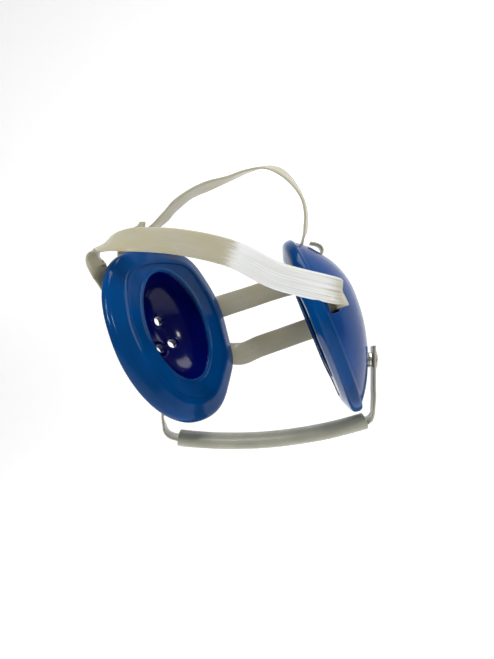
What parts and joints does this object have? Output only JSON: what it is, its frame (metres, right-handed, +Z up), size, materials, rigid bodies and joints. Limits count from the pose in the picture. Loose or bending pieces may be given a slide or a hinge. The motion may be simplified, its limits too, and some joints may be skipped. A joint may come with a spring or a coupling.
{
  "type": "wrestling headgear",
  "caption": "Sports ear guard: domed ear cups with padded rims and vent holes, joined by flat straps over the head, with a chin strap in a sleeve, held by press studs.",
  "frame": {"origin": "middle of the head space, halfway between the ear cups", "axes": "+Z up through the crown strap, +X towards the right ear cup, -Y towards the face"},
  "size_m": [0.1638, 0.1249, 0.1829],
  "materials": {
    "shell_blue": "gloss",
    "pad_blue": "gloss vinyl",
    "foam_grey": "matte",
    "strap_cream": "satin",
    "sleeve_grey": "satin",
    "snap_steel": "polished"
  },
  "bodies": {
    "harness": {"forehead_strap": "strap_cream", "crown_strap": "strap_cream", "upper_back_strap": "strap_cream", "lower_back_strap": "strap_cream", "chin_strap": "strap_cream"},
    "left_cup": {"left_shell": "shell_blue", "left_pad_skin": "pad_blue", "left_pad_foam": "foam_grey", "left_snap_stud": "snap_steel", "left_snap_eyelet": "snap_steel", "left_snap_socket": "snap_steel", "left_snap_cap": "snap_steel"},
    "right_cup": {"right_shell": "shell_blue", "right_pad_skin": "pad_blue", "right_pad_foam": "foam_grey", "right_snap_stud": "snap_steel", "right_snap_eyelet": "snap_steel"},
    "chin_tab": {"chin_tab": "strap_cream", "right_snap_socket": "snap_steel", "right_snap_cap": "snap_steel"},
    "chin_sleeve": {"chin_sleeve": "sleeve_grey"}
  },
  "joints": [
    {"name": "left_cup_swing", "type": "hinge", "parent": "harness", "child": "left_cup", "pos_m": [-0.06629, -0.00283, 0.05166], "axis": [0.3907, 0.9168, 0.0823], "range_deg": [-5, 6], "stiffness_Nm_per_rad": 0.6, "deforming": ["forehead_strap", "crown_strap", "upper_back_strap", "lower_back_strap", "chin_strap"]},
    {"name": "right_cup_swing", "type": "hinge", "parent": "harness", "child": "right_cup", "pos_m": [0.04885, 0.01137, 0.04082], "axis": [0.1558, -0.9878, 0.0033], "range_deg": [-5, 6], "stiffness_Nm_per_rad": 0.6, "deforming": ["forehead_strap", "crown_strap", "upper_back_strap", "lower_back_strap", "chin_strap"]},
    {"name": "chin_tab_swing", "type": "hinge", "parent": "right_cup", "child": "chin_tab", "pos_m": [0.07143, 0.0096, -0.05699], "axis": [-0.1584, 0.9787, -0.1302], "range_deg": [0, 70], "deforming": ["chin_strap"]},
    {"name": "chin_sleeve_slide", "type": "hinge", "parent": "harness", "child": "chin_sleeve", "pos_m": [0.03409, 0.00368, 0.20558], "axis": [0.184, -0.9829, 0], "range_deg": [-0.6, 0.6]}
  ]
}
